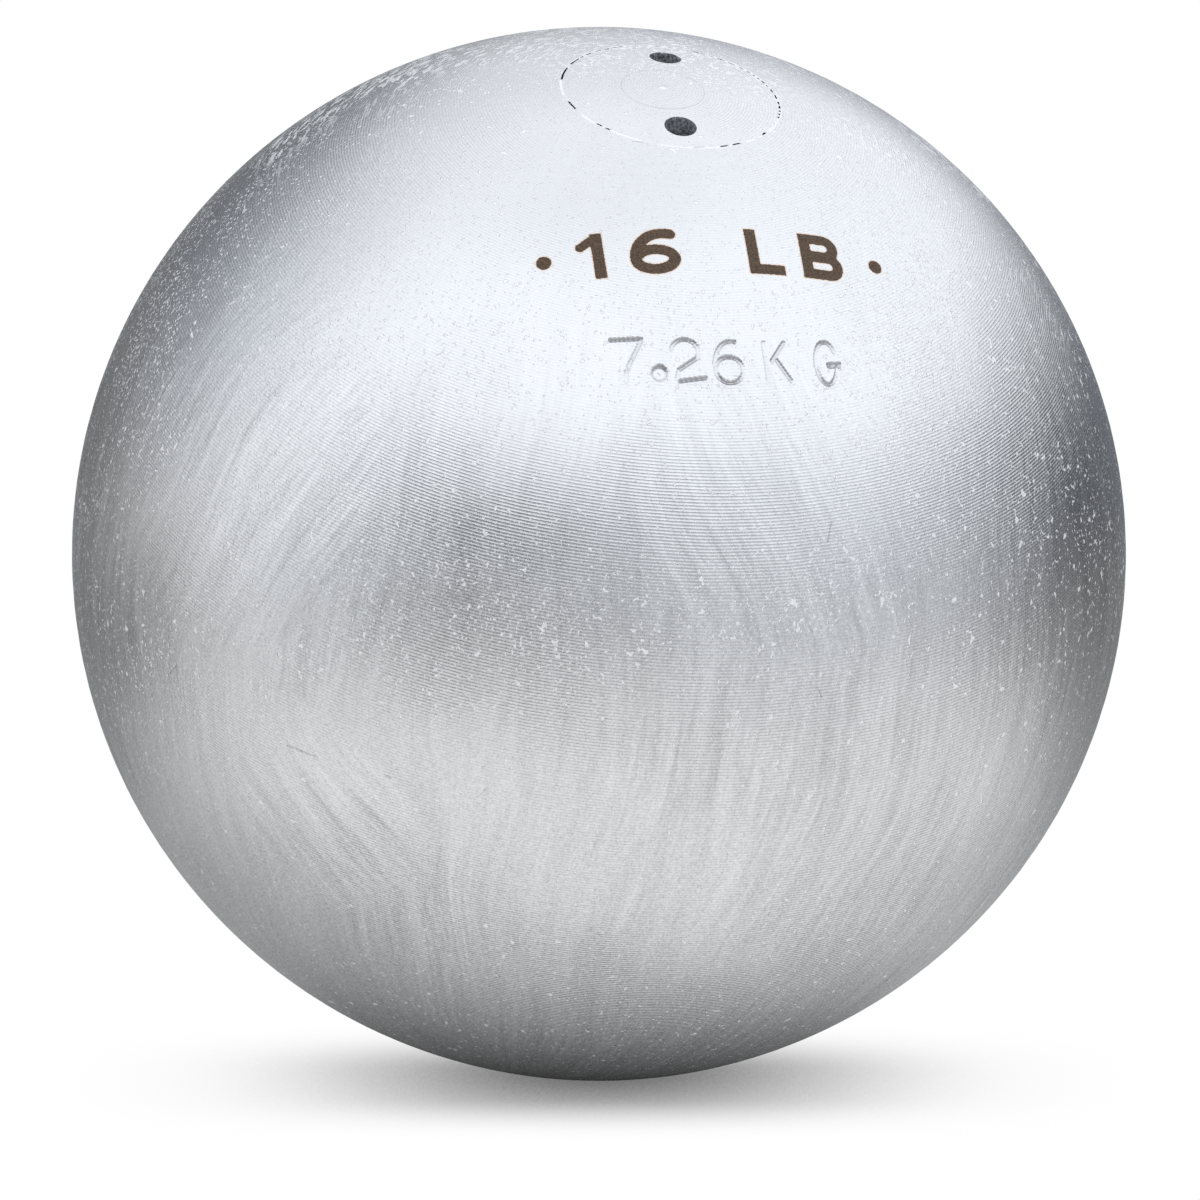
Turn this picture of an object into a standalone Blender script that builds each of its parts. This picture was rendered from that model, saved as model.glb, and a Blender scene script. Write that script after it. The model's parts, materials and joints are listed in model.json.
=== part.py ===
"""Shot put: a turned iron ball, brought to its weight by ballast in a drilled chamber under a screw plug.

Metres, +Z up, with the origin at the ball's centre and the front towards -Y. Every piece is drawn about
the plug's own axis, and the whole ball is then set down leaning, so that the plug looks out to the front.
The plug unscrews anticlockwise, seen from outside.
"""

import math

import bmesh
import bpy
from mathutils import Matrix

# Ball
BALL_DIAMETER = 0.125

# Stance: how far the plug's axis leans from upright, which way (from the front towards +X), and how far
# the ball is turned about that axis. Before it is set down, the plug's spanner holes lie along Y.
PLUG_LEAN = math.radians(25.5)
LEAN_DIRECTION = math.radians(18)
PLUG_SPIN = math.radians(-11)

# Screw plug: an M25 x 1.5 thread, drawn plain at its major diameter
PLUG_DIAMETER = 0.025
THREAD_PITCH = 0.0015
THREAD_TURNS = 10
THREAD_CLEARANCE = 0.00015
PLUG_LEAD_IN = 0.0008

# Spanner holes in the plug's crown
SPANNER_HOLE_DIAMETER = 0.0036
SPANNER_HOLE_DEPTH = 0.0055
SPANNER_HOLE_INSET = 0.004
DRILL_POINT_ANGLE = math.radians(118)

# Spigot under the plug and the washer that its peened lip holds
SPIGOT_DIAMETER = 0.012
RUNNING_CLEARANCE = 0.0001
WASHER_THICKNESS = 0.0015
WASHER_THREAD_CLEARANCE = 0.0003
LIP_OVERHANG = 0.0008
LIP_THICKNESS = 0.001
LIP_ROUND = 0.0003

# Threaded mouth and adjusting chamber in the ball
SHOULDER_WIDTH = 0.0025
RUN_OUT_WIDTH = 0.002
RUN_OUT_DEPTH = 0.0003
CHAMBER_DEPTH = 0.060

# What fills the chamber, from the plug down
SEAT_GAP = 0.0003
PACKING_THICKNESS = 0.005
TRIM_DISC_THICKNESSES = (0.0015, 0.0025)
SLUG_LENGTH = 0.007
EDGE_BREAK = 0.0004
DOWEL_CHAMFER = 0.001

# Fineness of the turned surfaces
BALL_STEPS = 72
BALLAST_STEPS = 40
HOLE_STEPS = 24
QUARTER_RINGS = 24
CROWN_RINGS = 5
MERGE_DISTANCE = 0.00001
SHARP_ANGLE = math.radians(20)

# Depth of an ISO thread as a share of its pitch
THREAD_DEPTH_RATIO = 0.5413


def drill_point(radius):
    """How far the cone at the end of a drilled hole of this radius reaches."""
    return radius / math.tan(DRILL_POINT_ANGLE / 2)


# Sizes that follow from the ones above
ball_radius = BALL_DIAMETER / 2
plug_radius = PLUG_DIAMETER / 2
mouth_radius = plug_radius + THREAD_CLEARANCE
plug_rim = math.sqrt(ball_radius**2 - plug_radius**2)
thread_length = THREAD_TURNS * THREAD_PITCH
plug_foot = plug_rim - thread_length
spigot_radius = SPIGOT_DIAMETER / 2
washer_bore_radius = spigot_radius + RUNNING_CLEARANCE
washer_radius = plug_radius - THREAD_DEPTH_RATIO * THREAD_PITCH - WASHER_THREAD_CLEARANCE
washer_foot = plug_foot - RUNNING_CLEARANCE - WASHER_THICKNESS
lip_radius = washer_bore_radius + LIP_OVERHANG
lip_top = washer_foot - RUNNING_CLEARANCE
lip_foot = lip_top - LIP_THICKNESS
shoulder = washer_foot - RUNNING_CLEARANCE
chamber_radius = plug_radius - SHOULDER_WIDTH
chamber_foot = shoulder - CHAMBER_DEPTH
chamber_tip = chamber_foot - drill_point(chamber_radius)
ballast_radius = chamber_radius - SEAT_GAP

# Heights of the ballast, where each piece keeps the seat gap to the next
pad_top = lip_foot - SEAT_GAP
pad_foot = pad_top - PACKING_THICKNESS
slug_tip = chamber_tip + SEAT_GAP / math.sin(DRILL_POINT_ANGLE / 2)
slug_foot = slug_tip + drill_point(ballast_radius)
slug_top = slug_foot + SLUG_LENGTH
disc_pitches = [SEAT_GAP + thickness for thickness in TRIM_DISC_THICKNESSES]
dowel_top = pad_foot - SEAT_GAP
dowel_foot = slug_top + sum(disc_pitches) + SEAT_GAP


def sphere_arc(start, end, rings):
    """Points (radius, height) along the ball's own sphere, at angles counted from the top of its axis."""
    angles = [start + (end - start) * ring / rings for ring in range(rings + 1)]
    return [(ball_radius * math.sin(angle), ball_radius * math.cos(angle)) for angle in angles]


def plain_material(name, colour, metallic, roughness):
    """A Principled material."""
    material = bpy.data.materials.new(name)
    material.use_nodes = True
    shader = material.node_tree.nodes["Principled BSDF"]
    shader.inputs["Base Color"].default_value = (*colour, 1.0)
    shader.inputs["Metallic"].default_value = metallic
    shader.inputs["Roughness"].default_value = roughness
    return material


def turned(name, profile, steps, collection, foot, ring=False):
    """Turns a profile about Z. The object's origin is on the axis, at the height called foot.

    A solid's profile starts and ends on the axis. A ring's profile closes on itself, off the axis.
    """
    mesh = bpy.data.meshes.new(name)
    outline = bmesh.new()
    corners = [outline.verts.new((radius, 0.0, z - foot)) for radius, z in profile]
    for corner, following in zip(corners, corners[1:]):
        outline.edges.new((corner, following))
    if ring:
        outline.edges.new((corners[-1], corners[0]))
    outline.to_mesh(mesh)
    outline.free()
    piece = bpy.data.objects.new(name, mesh)
    piece.location = (0.0, 0.0, foot)
    collection.objects.link(piece)
    turn = piece.modifiers.new("Turn", "SCREW")
    turn.axis = "Z"
    turn.steps = steps
    turn.render_steps = steps
    turn.use_merge_vertices = True
    turn.merge_threshold = MERGE_DISTANCE
    return piece


def drill(piece, cutter):
    """Cuts the hole that the cutter fills."""
    cut = piece.modifiers.new(cutter.name, "BOOLEAN")
    cut.operation = "DIFFERENCE"
    cut.solver = "EXACT"
    cut.object = cutter


def finish(piece, material, parent):
    """Settles the piece's modifiers and shades it smooth between its crisp edges."""
    graph = bpy.context.evaluated_depsgraph_get()
    outline = piece.data
    piece.data = bpy.data.meshes.new_from_object(piece.evaluated_get(graph))
    piece.modifiers.clear()
    bpy.data.meshes.remove(outline)
    piece.data.name = piece.name
    piece.data.materials.clear()
    piece.data.materials.append(material)
    piece.data.shade_smooth()
    piece.data.set_sharp_from_angle(angle=SHARP_ANGLE)
    piece.parent = parent


def ball_profile():
    """From the drill point up the chamber and the threaded mouth, then down the outside of the ball."""
    inside = [
        (0.0, chamber_tip),
        (chamber_radius, chamber_foot),
        (chamber_radius, shoulder),
        (mouth_radius + RUN_OUT_DEPTH, shoulder),
        (mouth_radius + RUN_OUT_DEPTH, shoulder + RUN_OUT_WIDTH),
        (mouth_radius, shoulder + RUN_OUT_WIDTH + RUN_OUT_DEPTH),
    ]
    rim_angle = math.asin(mouth_radius / ball_radius)
    upper = sphere_arc(rim_angle, math.pi / 2, QUARTER_RINGS)
    lower = sphere_arc(math.pi / 2, math.pi, QUARTER_RINGS)
    return inside + upper + lower[1:]


def plug_profile():
    """From the crown, which carries on the ball's sphere, down the thread to the peened spigot."""
    crown = sphere_arc(0.0, math.asin(plug_radius / ball_radius), CROWN_RINGS)
    body = [
        (plug_radius, plug_foot + PLUG_LEAD_IN),
        (plug_radius - PLUG_LEAD_IN, plug_foot),
        (spigot_radius, plug_foot),
        (spigot_radius, lip_top),
        (lip_radius, lip_top),
        (lip_radius, lip_foot + LIP_ROUND),
        (lip_radius - LIP_ROUND, lip_foot),
        (0.0, lip_foot),
    ]
    return crown + body


def spanner_hole_profile():
    """A drilled hole's shape, standing out of the crown so that it cuts a clean mouth."""
    radius = SPANNER_HOLE_DIAMETER / 2
    mouth = math.sqrt(ball_radius**2 - (plug_radius - SPANNER_HOLE_INSET) ** 2)
    floor = mouth - SPANNER_HOLE_DEPTH
    return [
        (0.0, ball_radius + radius),
        (radius, ball_radius + radius),
        (radius, floor),
        (0.0, floor - drill_point(radius)),
    ]


def disc_profile(radius, top, foot, edge):
    """A solid disc or rod with its edges broken."""
    return [
        (0.0, top),
        (radius - edge, top),
        (radius, top - edge),
        (radius, foot + edge),
        (radius - edge, foot),
        (0.0, foot),
    ]


def washer_profile():
    """The closed section of the washer, which the turning makes a ring."""
    top = washer_foot + WASHER_THICKNESS
    return [
        (washer_radius, top),
        (washer_radius, washer_foot),
        (washer_bore_radius, washer_foot),
        (washer_bore_radius, top),
    ]


def make_stance(parts):
    """The empty on the plug's axis that carries every piece. Its Z is the axis on which the plug unscrews."""
    stance = bpy.data.objects.new("plug_axis", None)
    parts.objects.link(stance)
    lean = Matrix.Rotation(LEAN_DIRECTION, 4, "Z") @ Matrix.Rotation(PLUG_LEAN, 4, "X")
    stance.matrix_world = lean @ Matrix.Rotation(PLUG_SPIN, 4, "Z")
    return stance


def make_ball(parts, parent):
    """The turned casting, with its blind chamber open at the plug's mouth."""
    ball = turned("ball_casting", ball_profile(), BALL_STEPS, parts, 0.0)
    finish(ball, plain_material("turned_iron", (0.72, 0.73, 0.75), 1.0, 0.34), parent)


def make_plug(parts, cutters, parent):
    """The plug, drilled for a pin spanner on both sides of its centre."""
    plug = turned("screw_plug", plug_profile(), BALL_STEPS, parts, plug_foot)
    for side in (-1, 1):
        name = "spanner_hole_near" if side < 0 else "spanner_hole_far"
        cutter = turned(name, spanner_hole_profile(), HOLE_STEPS, cutters, 0.0)
        cutter.location.y = side * (plug_radius - SPANNER_HOLE_INSET)
        cutter.hide_render = True
        cutter.display_type = "WIRE"
        drill(plug, cutter)
    finish(plug, plain_material("plug_steel", (0.76, 0.77, 0.79), 1.0, 0.3), parent)


def make_washer(parts, parent):
    """The ring that lets the plug turn while it presses on what lies below."""
    washer = turned("thrust_washer", washer_profile(), BALL_STEPS, parts, washer_foot, ring=True)
    finish(washer, plain_material("washer_brass", (0.8, 0.62, 0.3), 1.0, 0.35), parent)


def make_pad(parts, parent):
    """The pad that takes up the plug's pressure, so that nothing under it can rattle."""
    profile = disc_profile(ballast_radius, pad_top, pad_foot, EDGE_BREAK)
    pad = turned("packing_pad", profile, BALLAST_STEPS, parts, pad_foot)
    finish(pad, plain_material("packing_rubber", (0.03, 0.03, 0.03), 0.0, 0.8), parent)


def make_dowel(parts, parent):
    """The dowel that fills the length of chamber left over by the lead."""
    profile = disc_profile(ballast_radius, dowel_top, dowel_foot, DOWEL_CHAMFER)
    dowel = turned("spacer_dowel", profile, BALLAST_STEPS, parts, dowel_foot)
    finish(dowel, plain_material("dowel_beech", (0.55, 0.38, 0.22), 0.0, 0.6), parent)


def make_trim_discs(lead, parts, parent):
    """The thin discs that bring the ball to its last grams, the first of them uppermost."""
    top = dowel_foot - SEAT_GAP
    for number, thickness in enumerate(TRIM_DISC_THICKNESSES, start=1):
        foot = top - thickness
        profile = disc_profile(ballast_radius, top, foot, EDGE_BREAK)
        finish(turned(f"trim_disc_{number}", profile, BALLAST_STEPS, parts, foot), lead, parent)
        top = foot - SEAT_GAP


def make_slug(lead, parts, parent):
    """The slug, cast to the shape of the drill point that it lies in."""
    profile = [
        (0.0, slug_top),
        (ballast_radius - EDGE_BREAK, slug_top),
        (ballast_radius, slug_top - EDGE_BREAK),
        (ballast_radius, slug_foot),
        (0.0, slug_tip),
    ]
    finish(turned("lead_slug", profile, BALLAST_STEPS, parts, slug_foot), lead, parent)


def main():
    for leftover in list(bpy.data.objects):
        bpy.data.objects.remove(leftover)
    parts = bpy.data.collections.new("shot_put")
    cutters = bpy.data.collections.new("shot_put_cutters")
    bpy.context.scene.collection.children.link(parts)
    bpy.context.scene.collection.children.link(cutters)
    stance = make_stance(parts)
    make_ball(parts, stance)
    make_plug(parts, cutters, stance)
    make_washer(parts, stance)
    make_pad(parts, stance)
    make_dowel(parts, stance)
    lead = plain_material("ballast_lead", (0.26, 0.27, 0.29), 1.0, 0.6)
    make_trim_discs(lead, parts, stance)
    make_slug(lead, parts, stance)


main()
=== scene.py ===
"""Looks of the shot put: a turned iron ball with its flush screw plug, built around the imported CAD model.

Metres, +Z up, with the ball's centre at the origin. Pieces are modelled upright, about the plug's own axis,
and then set down leaning as the CAD pieces are. Run as a script, it builds every piece in order.
"""

import json
import math

import bmesh
import bpy
import numpy as np
from mathutils import Matrix, Vector


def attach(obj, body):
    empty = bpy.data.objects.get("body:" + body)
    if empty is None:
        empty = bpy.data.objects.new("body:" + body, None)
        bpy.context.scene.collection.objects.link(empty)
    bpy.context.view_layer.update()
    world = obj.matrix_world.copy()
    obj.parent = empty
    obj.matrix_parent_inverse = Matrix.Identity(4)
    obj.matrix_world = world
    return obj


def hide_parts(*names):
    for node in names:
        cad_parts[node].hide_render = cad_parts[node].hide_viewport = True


bl_info = {
    "name": "Shot Put",
    "version": (1, 0, 0),
    "blender": (4, 5, 0),
    "location": "View3D > Sidebar > Shot Put",
    "description": "Builds a turned iron shot put around its packed CAD model",
    "category": "Add Mesh",
}

MILLIMETRE = 0.001
SMALLEST_GAP = 0.000001
# Faces that meet at more than this angle keep a crisp edge
CRISP_ANGLE = math.radians(30)
# Half of the angle of a drill's point
DRILL_POINT = math.radians(59)
# Play between the washer and the faces above and below it
WASHER_GAP = 0.0001
# Play between the lead slug's tip and the chamber's
SLUG_GAP = 0.00035

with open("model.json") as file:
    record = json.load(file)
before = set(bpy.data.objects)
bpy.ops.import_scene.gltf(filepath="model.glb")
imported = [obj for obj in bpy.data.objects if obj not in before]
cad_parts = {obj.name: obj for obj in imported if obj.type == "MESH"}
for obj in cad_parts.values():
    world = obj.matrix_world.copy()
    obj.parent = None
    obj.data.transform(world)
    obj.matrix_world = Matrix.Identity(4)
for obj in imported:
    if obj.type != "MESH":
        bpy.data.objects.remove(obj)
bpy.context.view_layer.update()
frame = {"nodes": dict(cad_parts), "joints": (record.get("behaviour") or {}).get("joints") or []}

# Stance, read from the joint on which the plug turns, and how far the plug's two holes are turned
PLUG_SPIN = math.radians(-11)
joint_axes = {joint["name"]: Vector(joint["axis"]).normalized() for joint in frame["joints"]}
plug_axis = joint_axes["plug_turn"]
lean = plug_axis.angle(Vector((0, 0, 1)))
lean_direction = math.atan2(plug_axis.x, -plug_axis.y)
stance = (
    Matrix.Rotation(lean_direction, 4, "Z")
    @ Matrix.Rotation(lean, 4, "X")
    @ Matrix.Rotation(PLUG_SPIN, 4, "Z")
)

# The lathe's own axis, on which the ball was turned: a little off the plug's
TURNING_OFFSET_X = -0.00117
TURNING_OFFSET_Y = -0.00059


def reach(node):
    """The lowest and highest height of a CAD node along the plug's axis, and its widest radius."""
    upright = stance.inverted()
    places = [upright @ vertex.co for vertex in frame["nodes"][node].data.vertices]
    heights = [place.z for place in places]
    return min(heights), max(heights), max(math.hypot(place.x, place.y) for place in places)


_, _, ball_radius = reach("ball_casting")
plug_low, _, plug_radius = reach("screw_plug")
washer_low, washer_top, _ = reach("thrust_washer")
slug_tip, _, ballast_radius = reach("lead_slug")
chamber_tip = slug_tip - SLUG_GAP


def skin_height(radius):
    """Height of the ball's skin at a distance from the plug's axis."""
    return math.sqrt(ball_radius**2 - radius**2)


def turning_frame():
    """The turn that brings the world's directions to the lathe's axis."""
    height = skin_height(math.hypot(TURNING_OFFSET_X, TURNING_OFFSET_Y))
    axis = stance @ Vector((TURNING_OFFSET_X, TURNING_OFFSET_Y, height))
    sideways = (stance @ Vector((0, 1, 0))).cross(axis).normalized()
    forward = axis.cross(sideways).normalized()
    return Matrix((sideways, forward, axis.normalized())).transposed()


def length_setting(name, description, default, precision=5):
    """A length that a user can change."""
    return bpy.props.FloatProperty(
        name=name, description=description, default=default, unit="LENGTH", precision=precision
    )


def plain_setting(name, description, default):
    """A plain number that a user can change."""
    return bpy.props.FloatProperty(name=name, description=description, default=default, min=0)


def colour_setting(name, description, default):
    """A colour that a user can change."""
    return bpy.props.FloatVectorProperty(
        name=name, description=description, subtype="COLOR", size=3, default=default
    )


class BallSizes(bpy.types.PropertyGroup):
    """Sizes of the ball that can be changed."""

    segments: bpy.props.IntProperty(name="Segments", description="Faces round the ball", default=144, min=24)
    rings: bpy.props.IntProperty(name="Rings", description="Faces from pole to pole", default=96, min=24)
    mouth_radius: length_setting(
        "Mouth Radius", "Radius of the hole that the plug closes", plug_radius + 0.00012
    )
    groove_radius: length_setting(
        "Run-out Radius", "Radius of the groove below the thread", plug_radius + 0.00045
    )
    groove_height: length_setting("Run-out Height", "Height of the groove below the thread", 0.002)
    chamber_radius: length_setting(
        "Chamber Radius", "Radius of the drilled chamber", ballast_radius + 0.0003
    )
    stamp_depth: length_setting("Stamp Depth", "Depth of the stamped weight", 0.00036)
    stamp_lip: length_setting("Stamp Lip", "Height of the metal thrown up beside a stamped stroke", 0.00004)


class MetalFinish(bpy.types.PropertyGroup):
    """Colours and sizes of the turned surface that can be changed."""

    iron: colour_setting("Iron", "Colour of the turned iron", (0.80, 0.812, 0.832))
    steel: colour_setting("Steel", "Colour of the plug", (0.82, 0.832, 0.85))
    etching: colour_setting("Etching", "Colour of the etched weight", (0.085, 0.052, 0.03))
    groove_pitch: length_setting(
        "Groove Pitch", "Distance between two turning grooves", 0.000355, precision=6
    )
    groove_depth: length_setting("Groove Depth", "Depth of a turning groove", 0.000016, precision=7)
    streak_depth: length_setting(
        "Streak Depth", "Height of the streaks that cross the grooves", 0.00009, precision=7
    )
    grain_depth: length_setting(
        "Grain Depth", "Height of the fine grain of torn metal", 0.000045, precision=7
    )
    roughness: plain_setting("Roughness", "How far the bare metal spreads what it reflects", 0.27)


class StageSizes(bpy.types.PropertyGroup):
    """Sizes of the stage that can be changed."""

    camera_distance: length_setting("Camera Distance", "From the ball's centre to the camera", 0.6875)
    camera_elevation: bpy.props.FloatProperty(
        name="Camera Elevation",
        description="Height of the camera above the ball's centre, as an angle",
        default=math.radians(6.5),
        unit="ROTATION",
    )
    lens: plain_setting("Lens", "Focal length of the camera, in millimetres", 173.2)
    aim_below: length_setting("Aim Below", "How far below the ball's centre the camera aims", 0.00545)
    table_radius: length_setting(
        "Table Radius", "How far the white table reaches in what the metal reflects", 0.40
    )
    table_glow: plain_setting("Table Glow", "How bright the metal sees the table close by", 0.88)
    table_edge_glow: plain_setting(
        "Table Edge Glow", "How bright the metal sees the table's far edge", 0.58
    )
    ceiling_glow: plain_setting("Ceiling Glow", "How bright the soft light overhead is", 1.22)


def deselect():
    """Leaves nothing selected, in object mode."""
    if bpy.context.object is not None and bpy.context.object.mode != "OBJECT":
        bpy.ops.object.mode_set(mode="OBJECT")
    bpy.ops.object.select_all(action="DESELECT")


def activate(piece):
    """Makes this the one selected object."""
    deselect()
    piece.select_set(True)
    bpy.context.view_layer.objects.active = piece


def select_where(piece, test, faces=False):
    """Selects the points, or the faces, of the piece in edit mode whose place passes the test."""
    bpy.context.tool_settings.mesh_select_mode = (not faces, False, faces)
    bpy.ops.mesh.select_all(action="DESELECT")
    drawing = bmesh.from_edit_mesh(piece.data)
    for element in drawing.faces if faces else drawing.verts:
        place = element.calc_center_median() if faces else element.co
        if test(place):
            element.select_set(True)
    drawing.select_flush_mode()
    bmesh.update_edit_mesh(piece.data)


def turned(name, outline, steps):
    """Draws an outline of (radius, height) points from one vertex, then spins it about the upright axis."""
    deselect()
    bpy.ops.mesh.primitive_plane_add(size=MILLIMETRE)
    piece = bpy.context.object
    piece.name = name
    piece.data.name = name
    bpy.ops.object.mode_set(mode="EDIT")
    bpy.context.tool_settings.mesh_select_mode = (True, False, False)
    bpy.ops.mesh.select_all(action="SELECT")
    bpy.ops.mesh.merge(type="CENTER")
    bpy.ops.transform.translate(value=(outline[0][0], 0, outline[0][1]))
    for (radius, height), (next_radius, next_height) in zip(outline, outline[1:]):
        step = (next_radius - radius, 0, next_height - height)
        bpy.ops.mesh.extrude_region_move(TRANSFORM_OT_translate={"value": step})
    bpy.ops.mesh.select_all(action="SELECT")
    bpy.ops.mesh.spin(steps=steps, angle=2 * math.pi, center=(0, 0, 0), axis=(0, 0, 1))
    settle()
    return piece


def settle():
    """Merges doubles and turns every face outwards, in edit mode, and leaves it."""
    bpy.ops.mesh.select_all(action="SELECT")
    bpy.ops.mesh.remove_doubles(threshold=SMALLEST_GAP)
    bpy.ops.mesh.normals_make_consistent(inside=False)
    bpy.ops.object.mode_set(mode="OBJECT")


def apply_modifier(piece, kind, name, **settings):
    """Adds a modifier and applies it."""
    activate(piece)
    modifier = piece.modifiers.new(name, kind)
    for setting, value in settings.items():
        setattr(modifier, setting, value)
    bpy.ops.object.modifier_apply(modifier=modifier.name)


def weigh(piece, name, weights):
    """Puts a share for every point in a vertex group of this name."""
    group = piece.vertex_groups.new(name=name)
    for index in np.nonzero(weights > 0)[0]:
        group.add([int(index)], float(weights[index]), "REPLACE")


def raise_by(piece, group, height):
    """Raises the points of a vertex group along their normals."""
    apply_modifier(piece, "DISPLACE", group, strength=height, mid_level=0, vertex_group=group)


def write_attribute(piece, name, values):
    """Keeps one number for every point, for a material to read."""
    attribute = piece.data.attributes.new(name, "FLOAT", "POINT")
    attribute.data.foreach_set("value", values.astype(np.float32))


def points_of(piece):
    """The places of the piece's points, as rows of an array."""
    places = np.empty(len(piece.data.vertices) * 3)
    piece.data.vertices.foreach_get("co", places)
    return places.reshape(-1, 3)


def set_down(piece):
    """Shades the piece smooth between its crisp edges, and lays it down as the ball leans."""
    activate(piece)
    bpy.ops.object.shade_smooth_by_angle(angle=CRISP_ANGLE)
    piece.matrix_world = stance
    bpy.ops.object.transform_apply(location=True, rotation=True, scale=True)


class Row:
    """A row of characters along a great circle of the ball, centred at two angles: from the top and round."""

    def __init__(self, polar, azimuth):
        around = azimuth - math.pi / 2
        self.centre = np.array(
            [math.sin(polar) * math.cos(around), math.sin(polar) * math.sin(around), math.cos(polar)]
        )
        self.right = np.array([-math.sin(around), math.cos(around), 0.0])
        self.up = np.cross(self.centre, self.right)
        if self.up[2] < 0:
            self.up = -self.up

    def along(self, places):
        """Places on the ball as distances along and across the row, in metres."""
        unit = places / np.linalg.norm(places, axis=-1, keepdims=True)
        x = ball_radius * np.arctan2(unit @ self.right, unit @ self.centre)
        y = ball_radius * np.arcsin(np.clip(unit @ self.up, -1, 1))
        return x, y

    def holds(self, place, half_width, half_height):
        """Tells whether a place on the ball's skin lies in a box round the row's middle."""
        x, y = self.along(np.array(place)[None, :])
        near = np.dot(np.array(place), self.centre) > 0 and place.length > 0.99 * ball_radius
        return near and abs(x[0]) < half_width and abs(y[0]) < half_height


STAMP_ROW = Row(math.radians(38.6), math.radians(7))
ETCHED_ROW = Row(math.radians(25.8), math.radians(7))


def arc(centre, radii, start, end, steps=14):
    """Points of an arc, its angles in degrees counted anticlockwise from the right."""
    angles = np.radians(np.linspace(start, end, steps + 1))
    return np.stack([centre[0] + radii[0] * np.cos(angles), centre[1] + radii[1] * np.sin(angles)], axis=1)


def seven():
    """The stamped 7, as strokes in a unit box."""
    return [[(0, 1.02), (1, 1.01)], [(1, 0.98), (0.80, 0.72), (0.55, 0.42), (0.42, 0.2), (0.39, 0)]]


def two():
    """The stamped 2, its foot a stroke by itself."""
    bowl = arc((0.47, 0.70), (0.43, 0.30), 165, -30)
    return [[*bowl, (0.24, 0.28), (0.16, 0.08)], [(0.26, 0.02), (1.05, 0.08)]]


def six():
    """The stamped 6: a long stem and a round bowl."""
    stem = arc((0.62, 0.36), (0.60, 0.64), 78, 172)
    return [stem, arc((0.50, 0.31), (0.46, 0.31), 0, 360, 24)]


def letter_k():
    """The stamped K, its legs not quite joined."""
    return [[(0.05, 1), (0.12, 0)], [(0.85, 1.02), (0.32, 0.52)], [(0.50, 0.55), (1.0, 0.02)]]


def letter_g():
    """The stamped G, with a double bar."""
    bowl = arc((0.52, 0.5), (0.48, 0.50), 34, 342, 24)
    return [[*bowl, (1.0, 0.43)], [(0.62, 0.48), (1.1, 0.50)], [(0.62, 0.43), (1.1, 0.45)]]


def placed(strokes, left, foot, width, height):
    """Strokes drawn in a unit box, set in their place in the row, in metres."""
    return [np.array(stroke, float) * (width, height) + (left, foot) for stroke in strokes]


def stroke_distance(x, y, strokes):
    """The distance from every point to the nearest stroke's middle line, and how level it runs there."""
    nearest = np.full(x.shape, 1.0)
    level = np.zeros(x.shape)
    for stroke in strokes:
        for (x0, y0), (x1, y1) in zip(stroke, stroke[1:]):
            run, rise = x1 - x0, y1 - y0
            length = math.hypot(run, rise)
            share = np.clip(((x - x0) * run + (y - y0) * rise) / length**2, 0, 1)
            reached = np.hypot(x - x0 - share * run, y - y0 - share * rise)
            level = np.where(reached < nearest, abs(run) / length, level)
            nearest = np.minimum(nearest, reached)
    return nearest, level


def box_distance(x, y, left, foot, right, top):
    """The distance to a filled box, negative inside."""
    across = np.maximum(left - x, x - right)
    along = np.maximum(foot - y, y - top)
    outside = np.hypot(np.maximum(across, 0), np.maximum(along, 0))
    return outside + np.minimum(np.maximum(across, along), 0)


# The stamped characters: shape, then left edge, foot, width and height in millimetres along the row
STAMPED = (
    (seven, -13.45, -2.05, 3.35, 4.9),
    (two, -7.08, -2.3, 3.5, 4.95),
    (six, -2.3, -2.5, 3.4, 4.9),
    (letter_k, 3.4, -2.15, 3.0, 4.45),
    (letter_g, 9.46, -2.2, 2.7, 5.0),
)
# Half the width of a stamped stroke
STROKE_HALF = 0.0003
# The stamped point: its place along and across the row, its radius and the width of its sloping wall
POINT_X = -0.00842
POINT_Y = -0.00123
POINT_RADIUS = 0.00112
POINT_WALL = 0.0006
# Half the width and height of the patches of fine faces under the two rows, and the cuts across each face
STAMP_PATCH = (0.0158, 0.0049)
STAMP_CUTS = 17
ETCHED_PATCH = (0.0235, 0.0048)
ETCHED_CUTS = 10


def stamped_strokes():
    """Every stroke of the stamped characters, in its place in the row."""
    strokes = []
    for shape, *box in STAMPED:
        strokes += placed(shape(), *(value * MILLIMETRE for value in box))
    return strokes


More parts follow.
